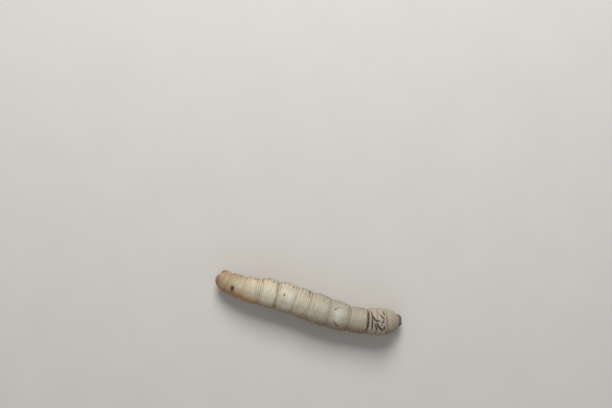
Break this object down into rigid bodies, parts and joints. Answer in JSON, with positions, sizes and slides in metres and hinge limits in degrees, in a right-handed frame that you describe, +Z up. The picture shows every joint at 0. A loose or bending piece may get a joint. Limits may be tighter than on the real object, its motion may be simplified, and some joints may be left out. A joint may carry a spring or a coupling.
{
  "type": "silkworm",
  "caption": "Life-size still model of a full-grown silkworm, cream and smooth, in a shallow S bend, with true legs, false legs, tail claspers and a small horn.",
  "frame": {"origin": "middle of the bounding box in plan, on the level of the soles", "axes": "+X along the body towards the head, +Y to the animal's left, +Z up out of its back"},
  "size_m": [0.0582, 0.0112, 0.0101],
  "materials": {
    "skin": "soft, thin, slightly moist skin, cream with brown creases",
    "proleg": "soft skin, ochre brown",
    "horn": "smooth and fleshy, dark at the tip",
    "leg": "smooth horny shell, satin",
    "head_shell": "horny shell, satin",
    "jaw": "horny, satin, near black",
    "eye": "glossy, black"
  },
  "bodies": {
    "root": {"abdomen_01": "skin", "abdomen_02": "skin", "abdomen_03": "skin", "abdomen_04": "skin", "abdomen_05": "skin", "abdomen_06": "skin", "abdomen_07": "skin", "abdomen_08": "skin", "abdomen_09": "skin", "abdomen_10": "skin", "thorax_1": "skin", "thorax_2": "skin", "thorax_3": "skin", "proleg_03_left": "proleg", "proleg_03_right": "proleg", "proleg_04_left": "proleg", "proleg_04_right": "proleg", "proleg_05_left": "proleg", "proleg_05_right": "proleg", "proleg_06_left": "proleg", "proleg_06_right": "proleg", "clasper_left": "proleg", "clasper_right": "proleg", "horn": "horn", "leg_3_left": "leg", "leg_3_right": "leg", "leg_2_left": "leg", "leg_2_right": "leg", "leg_1_left": "leg", "leg_1_right": "leg", "head": "head_shell", "lip": "head_shell", "eye_left": "eye", "eye_right": "eye", "feeler_left": "head_shell", "feeler_right": "head_shell", "jaw_left": "jaw", "jaw_right": "jaw", "lower_lip": "leg"}
  },
  "joints": []
}
